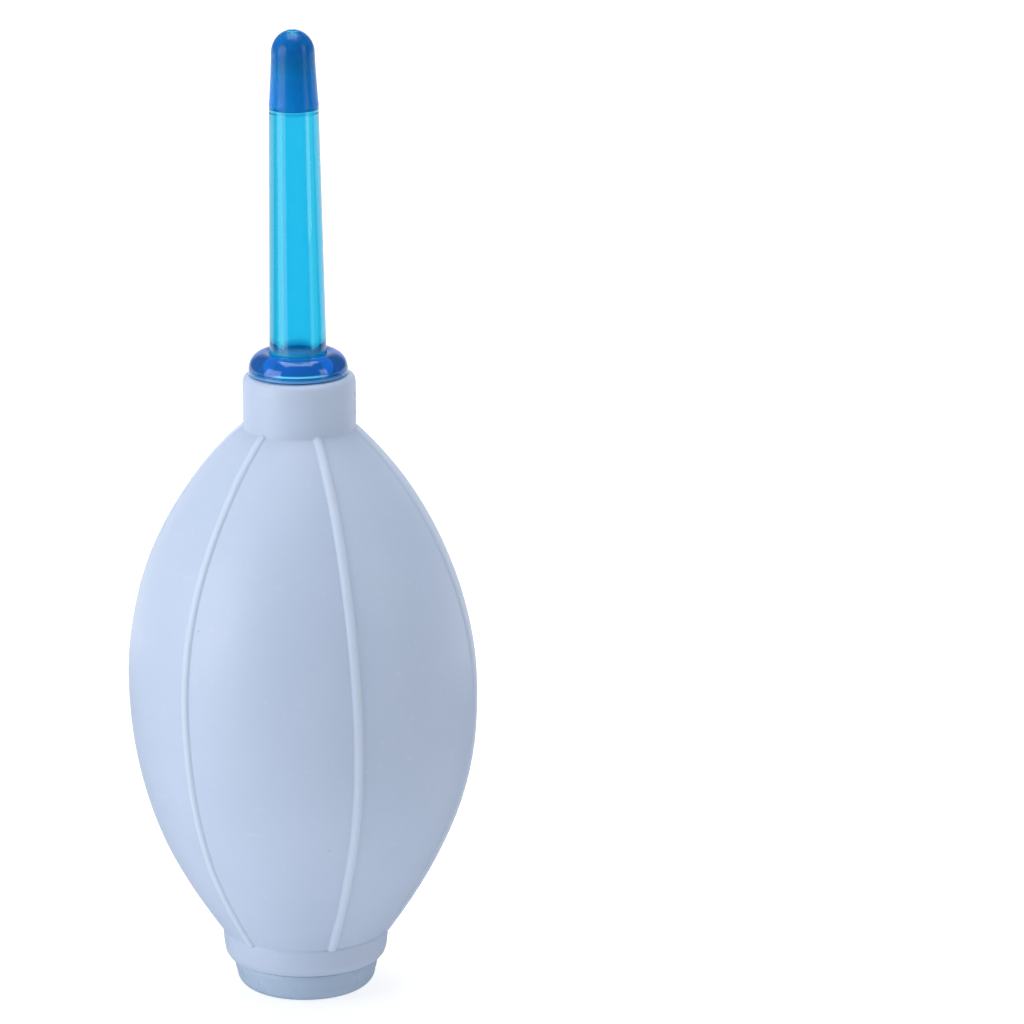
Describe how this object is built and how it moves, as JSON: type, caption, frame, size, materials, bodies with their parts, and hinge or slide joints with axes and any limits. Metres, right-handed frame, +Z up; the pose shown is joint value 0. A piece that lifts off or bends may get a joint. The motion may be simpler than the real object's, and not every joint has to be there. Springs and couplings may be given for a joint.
{
  "type": "dust blower bulb",
  "caption": "Hand-squeezed air blower for dusting small works: ribbed hollow rubber bulb, valved base plug, and a long tapered clear nozzle with a soft domed tip.",
  "frame": {"origin": "centre of the base plug's flat resting rim, at the bottom of the object", "axes": "+Z up along the blower's axis from the base to the nozzle tip; +X and +Y square to it, with one rib of the bulb on +Y"},
  "size_m": [0.055, 0.0558, 0.1552],
  "materials": {
    "bulb_rubber": "smooth opaque pale blue-grey rubber, satin",
    "plug_plastic": "smooth solid blue-grey plastic, satin gloss",
    "grille_plastic": "moulded blue-grey plastic",
    "filter_foam": "open-cell foam",
    "valve_silicone": "thin silicone sheet",
    "cage_plastic": "natural moulded plastic",
    "ring_plastic": "clear deep blue plastic, polished",
    "tube_plastic": "clear light blue plastic, polished",
    "tip_vinyl": "soft translucent mid-blue vinyl, satin"
  },
  "bodies": {
    "base": {"squeeze_bulb": "bulb_rubber", "base_plug": "plug_plastic", "intake_grille": "grille_plastic", "intake_filter": "filter_foam", "intake_cage": "cage_plastic"},
    "intake_valve": {"intake_valve_disc": "valve_silicone"},
    "head": {"nozzle_collar": "ring_plastic"},
    "nozzle": {"nozzle_tube": "tube_plastic"},
    "tip": {"nozzle_tip": "tip_vinyl"}
  },
  "joints": [
    {"name": "squeeze", "type": "slide", "parent": "base", "child": "head", "axis": [0, 0, -1], "range_m": [0, 0.022], "stiffness_N_per_m": 900, "springref_m": -0.004, "deforming": ["squeeze_bulb"]},
    {"name": "intake_valve_lift", "type": "slide", "parent": "base", "child": "intake_valve", "axis": [0, 0, 1], "range_m": [0, 0.0012]},
    {"name": "nozzle_pull", "type": "slide", "parent": "head", "child": "nozzle", "axis": [0, 0, 1], "range_m": [0, 0.014]},
    {"name": "tip_pull", "type": "slide", "parent": "nozzle", "child": "tip", "axis": [0, 0, 1], "range_m": [0, 0.01]}
  ]
}
